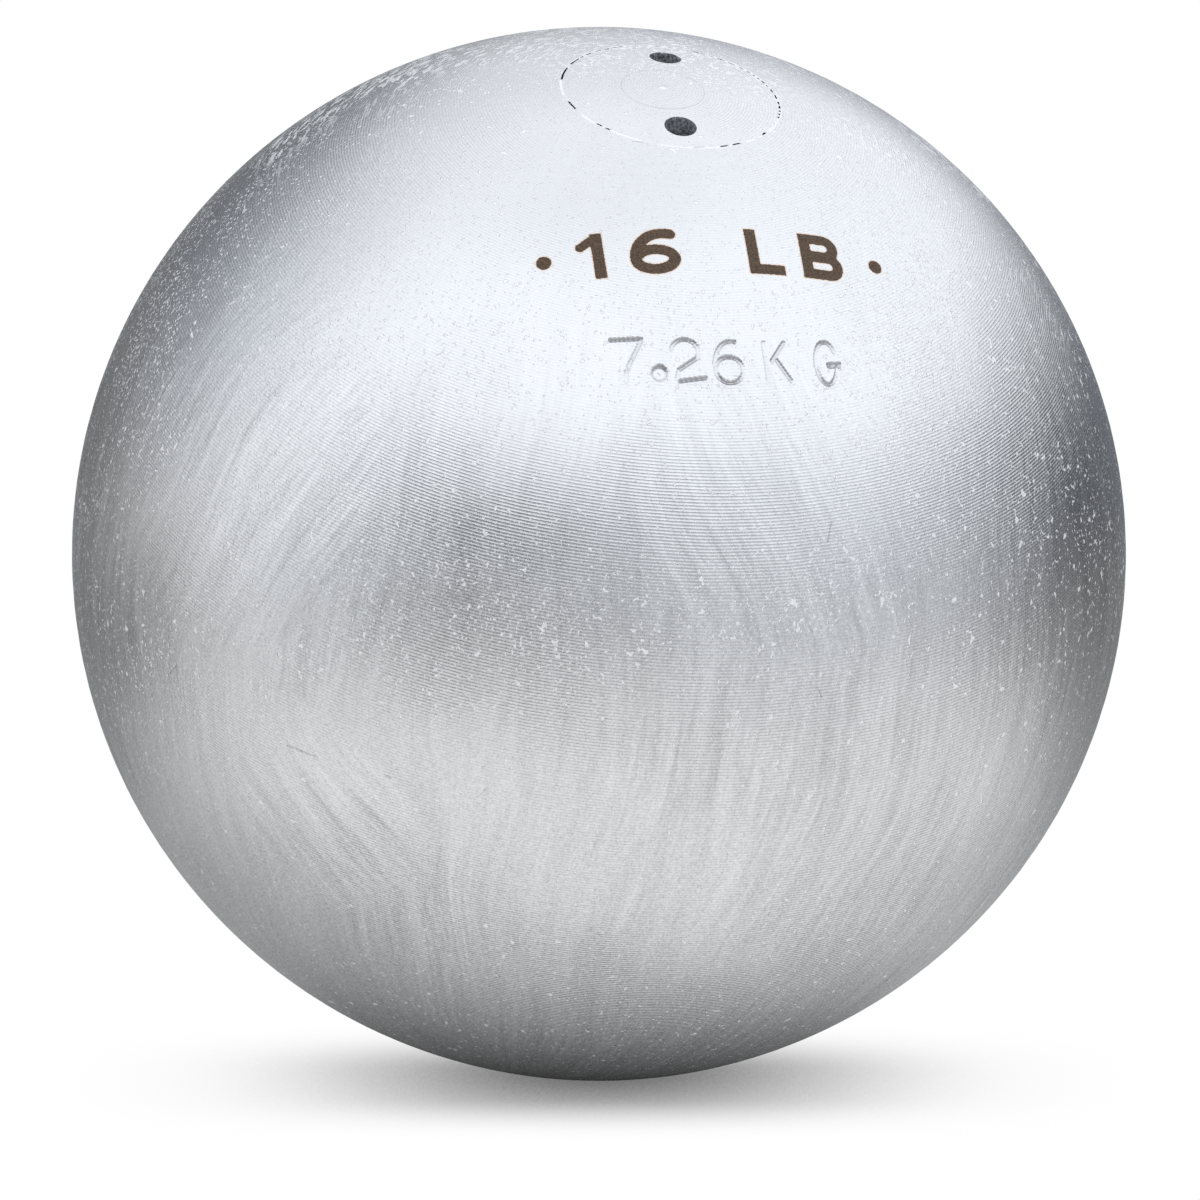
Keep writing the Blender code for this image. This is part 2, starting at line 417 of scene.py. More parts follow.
class SHOTPUT_OT_ball(bpy.types.Operator):
    """Models the turned ball with its mouth, chamber, stamped weight and etched weight"""

    bl_idname = "shot_put.ball"
    bl_label = "Ball"

    def execute(self, context):
        sizes = context.scene.shot_put_ball
        ball = self.skin(sizes)
        self.bore(ball, sizes)
        self.thread(ball, sizes)
        self.fine_faces(ball)
        self.stamp(ball, sizes)
        self.etch(ball)
        set_down(ball)
        ball.data.materials.clear()
        ball.data.materials.append(turned_metal("turned_iron", context.scene.shot_put_metal.iron, True))
        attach(ball, "ball")
        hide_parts("ball_casting")
        return {"FINISHED"}

    def skin(self, sizes):
        """The ball's outside, open at the mouth."""
        deselect()
        bpy.ops.mesh.primitive_uv_sphere_add(
            segments=sizes.segments, ring_count=sizes.rings, radius=ball_radius
        )
        ball = bpy.context.object
        ball.name = "ball"
        ball.data.name = "ball"
        bpy.ops.object.mode_set(mode="EDIT")
        rim_angle = math.asin(sizes.mouth_radius / ball_radius)
        ring_angle = math.pi / sizes.rings
        self.open_ring = math.ceil(rim_angle / ring_angle + 0.3)
        cut = ball_radius * math.cos((self.open_ring - 0.5) * ring_angle)
        select_where(ball, lambda place: place.z > cut)
        bpy.ops.mesh.delete(type="VERT")
        return ball

    def bore(self, ball, sizes):
        """Draws the open ring in to the mouth and down the bore to the drill point."""
        ring_angle = math.pi / sizes.rings
        start_angle = self.open_ring * ring_angle
        start = (ball_radius * math.sin(start_angle), ball_radius * math.cos(start_angle))
        shoulder = washer_low - WASHER_GAP
        groove_top = shoulder + sizes.groove_height
        radii = [sizes.mouth_radius + extra for extra in (0.00078, 0.0003, 0.0001, 0.00004)]
        rim = skin_height(sizes.mouth_radius)
        chamber_foot = chamber_tip + sizes.chamber_radius / math.tan(DRILL_POINT)
        thread_heights = np.arange(rim - 0.0012, groove_top + THREAD_FADE, -PITCH / 10)
        outline = [
            start,
            *[(radius, skin_height(radius)) for radius in radii],
            (sizes.mouth_radius, rim - 0.00004),
            (sizes.mouth_radius, rim - PLAIN_MOUTH),
            *[(sizes.mouth_radius, height) for height in thread_heights],
            (sizes.mouth_radius, groove_top + THREAD_FADE),
            (sizes.groove_radius, groove_top),
            (sizes.groove_radius, shoulder),
            (sizes.chamber_radius, shoulder),
            (sizes.chamber_radius, chamber_foot),
            (0.0002, chamber_tip),
        ]
        select_where(ball, lambda place: place.z > start[1] - 0.00001)
        for (radius, height), (next_radius, next_height) in zip(outline, outline[1:]):
            share = next_radius / radius
            bpy.ops.mesh.extrude_region_move(TRANSFORM_OT_translate={"value": (0, 0, next_height - height)})
            if share != 1:
                bpy.ops.transform.resize(value=(share, share, 1), center_override=(0, 0, 0))
        bpy.ops.mesh.merge(type="CENTER")
        settle()

    def thread(self, ball, sizes):
        """Raises the thread in the bore, so that it runs in the plug's grooves."""
        places = points_of(ball)
        radius = np.hypot(places[:, 0], places[:, 1])
        around = np.arctan2(places[:, 1], places[:, 0]) / (2 * math.pi)
        off = (places[:, 2] - THREAD_START) / PITCH - around
        off = np.abs(off - np.round(off)) * PITCH
        ridge = np.clip((RIDGE_FOOT - off) / RIDGE_SLOPE, 0, 1)
        rim = skin_height(sizes.mouth_radius)
        groove_top = washer_low - WASHER_GAP + sizes.groove_height
        low_end = np.clip((places[:, 2] - groove_top - THREAD_FADE) / THREAD_FADE, 0, 1)
        high_end = np.clip((rim - PLAIN_MOUTH - places[:, 2]) / THREAD_FADE, 0, 1)
        wall = np.abs(radius - sizes.mouth_radius) < 0.00001
        weigh(ball, "thread", np.where(wall, ridge * np.minimum(low_end, high_end), 0))
        raise_by(ball, "thread", RIDGE_HEIGHT)

    def fine_faces(self, ball):
        """Divides the faces under both rows of characters, and rounds them back to the ball."""
        bpy.ops.object.mode_set(mode="EDIT")
        stamp = (STAMP_ROW, STAMP_PATCH, STAMP_CUTS)
        etching = (ETCHED_ROW, ETCHED_PATCH, ETCHED_CUTS)
        for row, patch, cuts in (stamp, etching):
            select_where(ball, lambda place: row.holds(place, *patch), faces=True)
            bpy.ops.mesh.subdivide(number_cuts=cuts)
        bpy.ops.object.mode_set(mode="OBJECT")
        places = points_of(ball)
        far = np.linalg.norm(places, axis=1)
        outside = (far > ball_radius * 0.998) & (np.hypot(places[:, 0], places[:, 1]) > plug_radius + 0.0001)
        weigh(ball, "skin", outside.astype(float))
        apply_modifier(
            ball, "CAST", "Round", use_radius_as_size=False, factor=1, size=ball_radius, vertex_group="skin"
        )

    def stamp(self, ball, sizes):
        """Presses the weight into the ball, with a low lip of metal beside each stroke, and keeps painted
        shade for its walls.
        """
        places = points_of(ball)
        x, y = STAMP_ROW.along(places)
        near = (places @ STAMP_ROW.centre > 0) & (np.linalg.norm(places, axis=1) > ball_radius * 0.999)
        far, level = stroke_distance(x, y, stamped_strokes())
        far = np.where(near, far, 1.0)
        depth = np.clip(1 - (far / STROKE_HALF) ** 1.35, 0, 1) * (0.34 + 0.3 * level)
        from_point = np.where(near, np.hypot(x - POINT_X, y - POINT_Y), 1.0)
        share = np.clip((POINT_RADIUS - from_point) / POINT_WALL, 0, 1)
        dimple = share * share * (3 - 2 * share)
        upper = np.clip(0.7 + 0.5 * (y - POINT_Y) / POINT_RADIUS, 0.45, 1)
        edge = np.minimum(far - STROKE_HALF, from_point - POINT_RADIUS)
        lip = np.exp(-((edge / 0.00016 - 0.6) ** 2)) * (edge > -0.00005)
        weigh(ball, "stamp", np.maximum(depth, dimple * 0.8))
        weigh(ball, "lip", np.where(near & (lip > 0.02), lip, 0))
        raise_by(ball, "stamp", -sizes.stamp_depth)
        raise_by(ball, "lip", sizes.stamp_lip)
        # Painted shade for the stamped walls: darkest on level strokes, and on the upper side of the point's
        # wall
        stroke_painted_shade = np.clip(depth / 0.16, 0, 1) * (0.2 + 0.7 * level**2)
        point_painted_shade = 4 * dimple * (1 - dimple) * upper
        write_attribute(ball, "stamp_painted_shade", np.maximum(point_painted_shade, stroke_painted_shade))

    def etch(self, ball):
        """Keeps every point's distance from the etched characters' edge, for the material."""
        places = points_of(ball)
        x, y = ETCHED_ROW.along(places)
        near = (places @ ETCHED_ROW.centre > 0) & (np.linalg.norm(places, axis=1) > ball_radius * 0.999)
        far = etched_distance(x / MILLIMETRE, y / MILLIMETRE)
        write_attribute(ball, "etching_edge", np.where(near, np.clip(far, -1, 1), 1.0))


def etched_distance(x, y):
    """The distance in millimetres to the edge of the etched weight in pounds, negative inside."""
    foot, top, thick = -3.0, 3.0, 1.3
    half = thick / 2
    rounded = [
        # The flag of the 1
        ([(-13.75, top - half), (-15.4, top - 1.7)], 0.85 * half),
        # The bowl and the stem of the 6
        (arc((-7.3, foot + 1.95), (2.15, 1.30), 0, 360, 40), half),
        (arc((-6.3, foot + 2.2), (3.15, 3.15), 72, 176, 24), half),
    ]
    # Both bends of the B
    for low, high, right in ((foot, 0.55, 14.6), (-0.55, top, 14.3)):
        radius = (high - low) / 2 - half
        bend = arc((right - half - radius, (low + high) / 2), (radius, radius), -90, 90, 24)
        rounded.append(([(10.25, low + half), *bend, (10.25, high - half)], half))
    parts = [stroke_distance(x, y, [line])[0] - width for line, width in rounded]
    # The straight posts of the 1, the L and the B, and the foot of the L
    posts = ((-14.2, -12.9, top), (3.2, 4.5, top), (9.6, 10.9, top), (3.2, 7.4, foot + thick))
    for left, right, upper in posts:
        parts.append(box_distance(x, y, left, foot, right, upper))
    # Points at both ends
    for middle in (-19.6, 19.0):
        parts.append(np.hypot(x - middle, y) - 0.85)
    return np.minimum.reduce(parts)


# Where the plug's seam shows, in degrees round from the near spanner hole: gaps at the lower right,
# the long ones at the left end and those at the lower left, and a dashed stretch behind
SEAM_GAPS = ((21, 25), (28, 33), (50, 55), (232, 241), (246, 261), (286, 294), (312, 315), (318, 320))
DASHED_SEAM = (74, 232)
DASHES_ROUND = 70


def seam_stretch(turn):
    """Tells how the turning tool left the seam at this many degrees round from the near spanner hole."""
    if any(start < turn < end for start, end in SEAM_GAPS):
        return "gap"
    around = math.radians(turn)
    wave = math.sin(DASHES_ROUND * around + 2.5 * math.sin(9 * around))
    if DASHED_SEAM[0] < turn < DASHED_SEAM[1] and wave > 0.1:
        return "dash"
    return "closed"


# The thread: right-handed, one turn for every pitch. A groove passes the start's height on the x axis' side.
PITCH = 0.0015
THREAD_START = 0.0470
# The groove: radius and width of its flat root, and the slope of its flanks
THREAD_ROOT = 0.01158
ROOT_WIDTH = 0.00019
THREAD_FLANK = math.radians(30)
# The ridge in the bore: half its width at its foot, the run of its slope, and its height
RIDGE_FOOT = 0.00052
RIDGE_SLOPE = 0.00032
RIDGE_HEIGHT = 0.00065
# Over this length the ridge fades in and out, and over the next the mouth has none
THREAD_FADE = 0.0003
PLAIN_MOUTH = 0.001
# The plug's own collar, spigot and peened lip
COLLAR = 0.0012
COLLAR_PLAY = 0.0001
RELIEF_RADIUS = THREAD_ROOT - 0.0002
SPIGOT_RADIUS = 0.006
LIP_RADIUS = 0.0069
LIP_CHAMFER = 0.0003
# The spanner holes: radius, distance of their middles from the plug's edge, and depth
HOLE_RADIUS = 0.00178
HOLE_INSET = 0.004
HOLE_DEPTH = 0.0055
# How far the smeared edge of the plug reaches past its true radius, for each state of the seam
SMEARED_EDGE = {"closed": 0.00013, "gap": -0.00009, "dash": -0.00024}


class SHOTPUT_OT_plug(bpy.types.Operator):
    """Models the flush screw plug with its spanner holes, thread and spigot"""

    bl_idname = "shot_put.plug"
    bl_label = "Screw Plug"

    def execute(self, context):
        crown_angle = math.asin((plug_radius - COLLAR_PLAY) / ball_radius)
        crown = [
            (ball_radius * math.sin(crown_angle * share), ball_radius * math.cos(crown_angle * share))
            for share in np.linspace(0, 1, 41)
        ]
        foot = washer_top + WASHER_GAP
        lip_top = washer_low - WASHER_GAP
        seam = skin_height(plug_radius)
        collar_foot = seam - COLLAR
        outline = crown + [
            (plug_radius, seam - 0.00003),
            (plug_radius, seam - 0.00012),
            (plug_radius - COLLAR_PLAY, seam - 0.00022),
            (plug_radius - COLLAR_PLAY, collar_foot),
            (RELIEF_RADIUS, collar_foot - 0.0003),
            (RELIEF_RADIUS, collar_foot - 0.0012),
            (plug_radius, collar_foot - 0.0019),
            (plug_radius, foot + 0.0009),
            (THREAD_ROOT - 0.0001, foot),
            (SPIGOT_RADIUS, foot),
            (SPIGOT_RADIUS, lip_top),
            (LIP_RADIUS, lip_top),
            (LIP_RADIUS, plug_low + LIP_CHAMFER),
            (LIP_RADIUS - LIP_CHAMFER, plug_low),
            (0.0, plug_low),
        ]
        plug = turned("plug", outline, 288)
        self.thread(plug, foot, collar_foot - 0.0007)
        self.smear(plug, seam)
        for side in (-1, 1):
            self.spanner_hole(plug, side)
        set_down(plug)
        plug.data.materials.clear()
        plug.data.materials.append(turned_metal("plug_steel", context.scene.shot_put_metal.steel, False))
        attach(plug, "plug")
        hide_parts("screw_plug")
        return {"FINISHED"}

    def thread(self, plug, foot, top):
        """Cuts the plug's thread with a coil that runs from below its foot up to the relief groove."""
        deselect()
        bpy.ops.mesh.primitive_plane_add(size=MILLIMETRE)
        coil = bpy.context.object
        coil.name = "coil"
        start = math.floor((foot - 0.0005 - THREAD_START) / PITCH)
        turns = math.ceil((top - THREAD_START) / PITCH - start) - 0.35
        low = THREAD_START + start * PITCH
        outer = plug_radius + 0.0003
        narrow = ROOT_WIDTH / 2
        wide = narrow + (outer - THREAD_ROOT) * math.tan(THREAD_FLANK)
        corners = ((THREAD_ROOT, -narrow), (outer, -wide), (outer, wide), (THREAD_ROOT, narrow))
        for index, (radius, height) in zip(coil.data.polygons[0].vertices, corners):
            coil.data.vertices[index].co = (radius, 0, low + height)
        bpy.ops.object.mode_set(mode="EDIT")
        bpy.ops.mesh.select_all(action="SELECT")
        bpy.ops.mesh.delete(type="ONLY_FACE")
        bpy.ops.object.mode_set(mode="OBJECT")
        apply_modifier(
            coil,
            "SCREW",
            "Coil",
            angle=2 * math.pi * turns,
            screw_offset=PITCH * turns,
            steps=round(turns * 96),
            render_steps=round(turns * 96),
            iterations=1,
        )
        bpy.ops.object.mode_set(mode="EDIT")
        bpy.ops.mesh.select_all(action="SELECT")
        bpy.ops.mesh.fill_holes(sides=4)
        settle()
        apply_modifier(plug, "BOOLEAN", "Thread", operation="DIFFERENCE", solver="EXACT", object=coil)
        bpy.data.objects.remove(coil)

    def smear(self, plug, seam):
        """Spreads the plug's edge over the seam where the turning tool smeared the metal across it."""
        activate(plug)
        bpy.ops.object.mode_set(mode="EDIT")

        def at_edge(place, stretch):
            if place.xy.length < plug_radius - 0.00002 or place.z < seam - 0.00013:
                return False
            return seam_stretch(math.degrees(math.atan2(place.x, -place.y)) % 360) == stretch

        for stretch, past in SMEARED_EDGE.items():
            select_where(plug, lambda place: at_edge(place, stretch))
            share = (plug_radius + past) / plug_radius
            bpy.ops.transform.resize(value=(share, share, 1), center_override=(0, 0, 0))
        bpy.ops.object.mode_set(mode="OBJECT")

    def spanner_hole(self, plug, side):
        """Drills a blind hole for one pin of the spanner."""
        place = side * (plug_radius - HOLE_INSET)
        floor = skin_height(place) - HOLE_DEPTH
        outline = [
            (0.0, ball_radius + HOLE_RADIUS),
            (HOLE_RADIUS + 0.0001, ball_radius + HOLE_RADIUS),
            (HOLE_RADIUS, floor),
            (0.0, floor - HOLE_RADIUS / math.tan(DRILL_POINT)),
        ]
        drill = turned("drill", outline, 48)
        drill.location = (0.00013, place - 0.00025, 0)
        apply_modifier(plug, "BOOLEAN", "Drill", operation="DIFFERENCE", solver="EXACT", object=drill)
        bpy.data.objects.remove(drill)


class Nodes:
    """Adds shader nodes to one tree and joins them."""

    def __init__(self, tree):
        self.tree = tree

    def add(self, kind, settings=None, **inputs):
        """A new node with these settings, its inputs joined or set."""
        node = self.tree.nodes.new(kind)
        for name, value in (settings or {}).items():
            setattr(node, name, value)
        for name, value in inputs.items():
            self.feed(node.inputs[name], value)
        return node

    def feed(self, socket, value):
        """Joins another node's output to the socket, or sets the socket to a fixed value."""
        if isinstance(value, bpy.types.NodeSocket):
            self.tree.links.new(value, socket)
        else:
            socket.default_value = value

    def operate(self, kind, operation, values):
        """A node that works on these values in order."""
        node = self.add(kind, {"operation": operation})
        for socket, value in zip(node.inputs, values):
            self.feed(socket, value)
        return node

    def math(self, operation, *values):
        return self.operate("ShaderNodeMath", operation, values).outputs[0]

    def vector_math(self, operation, *values):
        """A vector, or a number where the operation gives one."""
        node = self.operate("ShaderNodeVectorMath", operation, values)
        return node.outputs["Value" if operation in ("DOT_PRODUCT", "DISTANCE", "LENGTH") else "Vector"]

    def in_turn(self, operation, values):
        """One operation on all the values, from the first to the last."""
        result = values[0]
        for value in values[1:]:
            result = self.math(operation, result, value)
        return result

    def total(self, *values):
        return self.in_turn("ADD", values)

    def product(self, *values):
        return self.in_turn("MULTIPLY", values)

    def highest(self, *values):
        return self.in_turn("MAXIMUM", values)

    def difference(self, first, second):
        return self.math("SUBTRACT", first, second)

    def ramp(self, value, low, high, out_low=0.0, out_high=1.0):
        """A smooth step from one number to another as the value goes from low to high."""
        node = self.add("ShaderNodeMapRange", {"interpolation_type": "SMOOTHSTEP"})
        numbers = {"Value": value, "From Min": low, "From Max": high, "To Min": out_low, "To Max": out_high}
        for name, number in numbers.items():
            self.feed(node.inputs[name], number)
        return node.outputs["Result"]

    def greys(self, value, stops, interpolation="LINEAR"):
        """Greys given for some of the value's levels, and blended between them."""
        node = self.add("ShaderNodeValToRGB", Fac=value)
        node.color_ramp.interpolation = interpolation
        elements = node.color_ramp.elements
        elements.remove(elements[1])
        for index, (position, grey) in enumerate(stops):
            element = elements[0] if index == 0 else elements.new(position)
            element.position = position
            element.color = (grey, grey, grey, 1)
        return node.outputs[0]

    def noise(self, vector, scale, detail=2.0, roughness=0.5):
        inputs = {"Vector": vector, "Scale": scale, "Detail": detail, "Roughness": roughness}
        return self.add("ShaderNodeTexNoise", **inputs).outputs["Fac"]

    def vector(self, x, y, z):
        return self.add("ShaderNodeCombineXYZ", X=x, Y=y, Z=z).outputs[0]

    def axes(self, place):
        """The three coordinates of a place."""
        return tuple(self.add("ShaderNodeSeparateXYZ", Vector=place).outputs)

    def radius(self, x, y):
        """The distance from the upright axis."""
        return self.math("SQRT", self.total(self.product(x, x), self.product(y, y)))

    def mix(self, share, first, second):
        """Blends two colours."""
        node = self.add("ShaderNodeMix", {"data_type": "RGBA"})
        self.feed(node.inputs[0], share)
        self.feed(node.inputs[6], first)
        self.feed(node.inputs[7], second)
        return node.outputs[2]

    def scaled(self, colour, factor):
        """A colour or a vector, each of its numbers multiplied by the factor."""
        node = self.add("ShaderNodeVectorMath", {"operation": "SCALE"}, Vector=colour, Scale=factor)
        return node.outputs[0]

    def turned_place(self, turn):
        """Places on the piece, in a frame that is turned against the world's."""
        place = self.add("ShaderNodeTexCoord").outputs["Object"]
        mapping = self.add("ShaderNodeMapping", {"vector_type": "TEXTURE"}, Vector=place)
        mapping.inputs["Rotation"].default_value = turn.to_euler()
        return mapping.outputs[0]


def new_material(name):
    """An empty Principled material and the means to add nodes to it."""
    material = bpy.data.materials.new(name)
    material.use_nodes = True
    return material, Nodes(material.node_tree), material.node_tree.nodes["Principled BSDF"]


def complete(nodes, shader, colour, roughness, height, distance, metallic=0.0):
    """Joins a finish to its material, with its height as a bump."""
    bump = nodes.add("ShaderNodeBump", Height=height, Strength=1.0, Distance=distance)
    inputs = {"Base Color": colour, "Metallic": metallic, "Roughness": roughness, "Normal": bump.outputs[0]}
    for name, value in inputs.items():
        nodes.feed(shader.inputs[name], value)


def make_glow(material, nodes, shader, colour, strength):
    """Makes a material that only gives light."""
    glow = nodes.add("ShaderNodeEmission", Color=colour, Strength=strength)
    nodes.feed(material.node_tree.nodes["Material Output"].inputs["Surface"], glow.outputs[0])
    material.node_tree.nodes.remove(shader)


def on_ball(direction):
    """The place on the ball in a direction from its centre."""
    return tuple(Vector(direction).normalized() * ball_radius)


class Surface:
    """Where the points of the turned metal lie, for the marks that are drawn there."""

    def __init__(self, nodes):
        self.place = nodes.add("ShaderNodeTexCoord").outputs["Object"]
        self.x, self.y, self.z = nodes.axes(self.place)
        self.turning = nodes.turned_place(turning_frame())
        turning_x, turning_y, turning_z = nodes.axes(self.turning)
        self.polar = nodes.math("ARCTAN2", nodes.radius(turning_x, turning_y), turning_z)
        self.around = nodes.math("ARCTAN2", turning_y, turning_x)
        plug_x, plug_y, _ = nodes.axes(nodes.turned_place(stance))
        self.from_plug_axis = nodes.radius(plug_x, plug_y)
        self.depth = nodes.difference(ball_radius, nodes.vector_math("LENGTH", self.place))
        self.from_smoothest = nodes.vector_math("DISTANCE", self.place, on_ball(SMOOTH_PLACE))
        self.underneath = nodes.ramp(self.z, -0.042, -0.014, 1.5, 1.0)


def turning_grooves(nodes, at, pitch):
    """Turning grooves, one spiral from pole to pole, as a height."""
    grooves = nodes.product(at.polar, ball_radius / pitch)
    turns = nodes.product(at.around, 1 / (2 * math.pi))
    wobble = nodes.product(nodes.noise(at.turning, 150, 1.0), 0.6)
    phase = nodes.math("FRACT", nodes.total(grooves, turns, wobble))
    from_middle = nodes.difference(phase, 0.5)
    patches = nodes.ramp(nodes.noise(at.turning, 45, 2.0), 0.35, 0.62, 0.6, 1.5)
    near_plug = nodes.ramp(at.polar, 0.5, 1.1, 0.6, 1.0)
    return nodes.product(from_middle, from_middle, 4.0, nodes.product(patches, near_plug, at.underneath))


def polishing(nodes, at):
    """Polishing strokes across the grooves, in areas that each run their own way."""
    wander = nodes.add("ShaderNodeTexNoise", Vector=at.place, Scale=26.0, Detail=1.0).outputs["Color"]
    wander = nodes.vector_math("SUBTRACT", wander, (0.5, 0.5, 0.5))
    hand = nodes.vector_math("ADD", at.place, nodes.scaled(wander, 0.012))
    streaks = polishing_strokes(nodes, hand, MAIN_STROKE)
    streaks = nodes.product(streaks, nodes.ramp(at.z, -0.014, 0.002, 1.0, 0.75))
    for centre, stroke, reach_mm in POLISHED_AREAS:
        far = nodes.vector_math("DISTANCE", hand, on_ball(centre))
        area = nodes.ramp(far, (reach_mm - 4) * MILLIMETRE, (reach_mm + 3) * MILLIMETRE, 1.0, 0.0)
        change = nodes.difference(polishing_strokes(nodes, hand, stroke), streaks)
        streaks = nodes.total(streaks, nodes.product(change, area))
    patches = nodes.ramp(nodes.noise(at.turning, 38, 1.0), 0.4, 0.62, 0.5, 1.0)
    near_plug = nodes.ramp(at.polar, 0.45, 1.15, 0.12, 1.0)
    return nodes.product(streaks, patches, near_plug)


def glinting_torn_flecks(nodes, at):
    """Flecks torn up along the grooves round the plug, most of them behind it, and painted bright as glints.
    """
    long_place = nodes.vector(
        nodes.product(nodes.math("COSINE", at.around), 0.45),
        nodes.product(nodes.math("SINE", at.around), 0.45),
        nodes.product(at.polar, 2.6),
    )
    flecks = nodes.ramp(nodes.noise(long_place, 38, 1.0), 0.50, 0.61)
    near_plug = nodes.ramp(at.polar, 0.75, 1.1, 1.0, 0.0)
    thick_and_thin = nodes.ramp(nodes.noise(at.place, 60, 2.0), 0.42, 0.62, 0.05, 1.0)
    behind = nodes.ramp(at.y, -0.03, -0.012, 0.12, 1.0)
    return nodes.product(flecks, near_plug, thick_and_thin, behind)


def torn_grain(nodes, at):
    """Grain of torn metal, about 0."""
    grain = nodes.difference(nodes.noise(at.place, 3000, 3.0, 0.75), 0.5)
    near_plug = nodes.ramp(at.polar, 0.15, 0.75, 0.4, 1.0)
    smooth = nodes.ramp(at.from_smoothest, 0.014, 0.042, 0.25, 1.0)
    return nodes.product(grain, at.underneath, near_plug, smooth)


def crumbs_and_pits(nodes, at):
    """Crumbs of torn metal, from 0 to 1, which are also painted as bright glints, and the height that they
    and the pits have together.
    """
    # Where the crumbs, and the glints painted on them, crowd: fewer low down and near the smoothest place
    crowd = nodes.product(
        nodes.ramp(nodes.noise(at.place, 90, 3.0, 0.6), 0.38, 0.62, 0.15, 1.0),
        nodes.ramp(at.z, -0.022, 0.002, 0.15, 1.0),
        nodes.ramp(at.from_smoothest, 0.022, 0.038, 0.08, 1.0),
    )
    thick = nodes.product(nodes.ramp(at.from_smoothest, 0.024, 0.046, 0.45, 1.0), crowd)
    more = nodes.product(thick, 0.09, nodes.ramp(at.x, 0.034, 0.046, 1.0, 0.3))
    fine = nodes.ramp(nodes.total(nodes.noise(at.place, 2500, 1.0), more), 0.68, 0.74)
    more = nodes.product(thick, 0.06, nodes.ramp(at.x, 0.010, 0.034))
    lumps = nodes.ramp(nodes.total(nodes.noise(at.place, 1100, 1.0), more), 0.71, 0.745)
    glinting_crumbs = nodes.highest(fine, lumps)
    pits = nodes.product(round_pits(nodes, at.place, 1000.0, 0.16, 0.17), crowd, 0.04)
    return glinting_crumbs, nodes.difference(nodes.product(glinting_crumbs, 0.05), pits)


def tool_marks(nodes, at):
    """The pip, also painted as a highlight, and the ring that the tool left in the middle, each from 0 to 1.
    """
    radial = nodes.product(at.polar, ball_radius / MILLIMETRE)
    pip_and_highlight = nodes.difference(1.0, nodes.ramp(radial, 0.25, 0.55))
    from_ring = nodes.math("ABSOLUTE", nodes.difference(radial, 4.75))
    return pip_and_highlight, nodes.ramp(from_ring, 0.03, 0.16, 1.0, 0.0)


def seam_burr_and_highlight(nodes, at):
    """Burr that the tool left along the plug's seam, wider behind, with a painted highlight along it."""
    from_seam = nodes.difference(at.from_plug_axis, plug_radius + 0.0001)
    from_seam = nodes.product(from_seam, nodes.ramp(at.y, -0.026, -0.015, 1.0, 0.35))
    burr_and_highlight = nodes.ramp(nodes.math("ABSOLUTE", from_seam), 0.00006, 0.00022, 1.0, 0.0)
    return nodes.product(burr_and_highlight, nodes.ramp(nodes.noise(at.place, 600, 1.0), 0.38, 0.52))


def painted_shade_in_ball(nodes, at):
    """Painted shade: dark inside the bore below the mouth, and down the seam's gap from just under the skin.
    """
    beside_plug = nodes.ramp(at.from_plug_axis, 0.01266, 0.0127, 1.0, 0.0)
    # Painted shade in the seam's gap beside the plug, from just under the skin
    seam_painted_shade = nodes.product(beside_plug, nodes.ramp(at.depth, 0.00004, 0.0001))
    return nodes.highest(nodes.ramp(at.depth, 0.0006, 0.0010), seam_painted_shade)


def painted_shade_in_plug(nodes, at):
    """Painted shade: dark in the spanner holes, and down the plug's side at the top of the seam."""
    in_hole = nodes.ramp(at.from_plug_axis, 0.0106, 0.011, 1.0, 0.0)
    in_hole = nodes.product(in_hole, nodes.ramp(at.depth, 0.007, 0.008, 1.0, 0.0))
    in_seam = nodes.ramp(at.depth, 0.0007, 0.0013, 1.0, 0.0)
    return nodes.product(nodes.ramp(at.depth, 0.00012, 0.0002), nodes.highest(in_hole, in_seam))


def with_characters(nodes, at, etching, metal, roughness, metallic):
    """Darkens the stamped weight's walls with painted shade, and adds the etched weight with its brown
    fringe.
    """
    # The stamped walls, darkened by painted shade
    wall = nodes.add("ShaderNodeAttribute", {"attribute_name": "stamp_painted_shade"}).outputs["Fac"]
    metal = nodes.scaled(metal, nodes.ramp(wall, 0.0, 1.0, 1.0, 0.66))
    edge = nodes.add("ShaderNodeAttribute", {"attribute_name": "etching_edge"}).outputs["Fac"]
    rough_edge = nodes.product(nodes.difference(nodes.noise(at.place, 4200, 1.0), 0.5), 0.16)
    edge = nodes.total(edge, rough_edge)
    inside = nodes.ramp(edge, -0.03, 0.03, 1.0, 0.0)
    fringe = nodes.ramp(edge, 0.02, 0.2, 1.0, 0.0)
    tint = nodes.mix(nodes.product(fringe, 0.5), metal, (0.72, 0.42, 0.2, 1.0))
    hatch = nodes.ramp(nodes.noise(at.place, 5200, 2.0, 0.7), 0.3, 0.7, 0.45, 1.7)
    metal = nodes.mix(inside, tint, nodes.scaled((*etching,), hatch))
    roughness = nodes.total(roughness, nodes.product(inside, 0.3))
    return metal, roughness, nodes.product(metallic, nodes.ramp(inside, 0.0, 1.0, 1.0, 0.25))


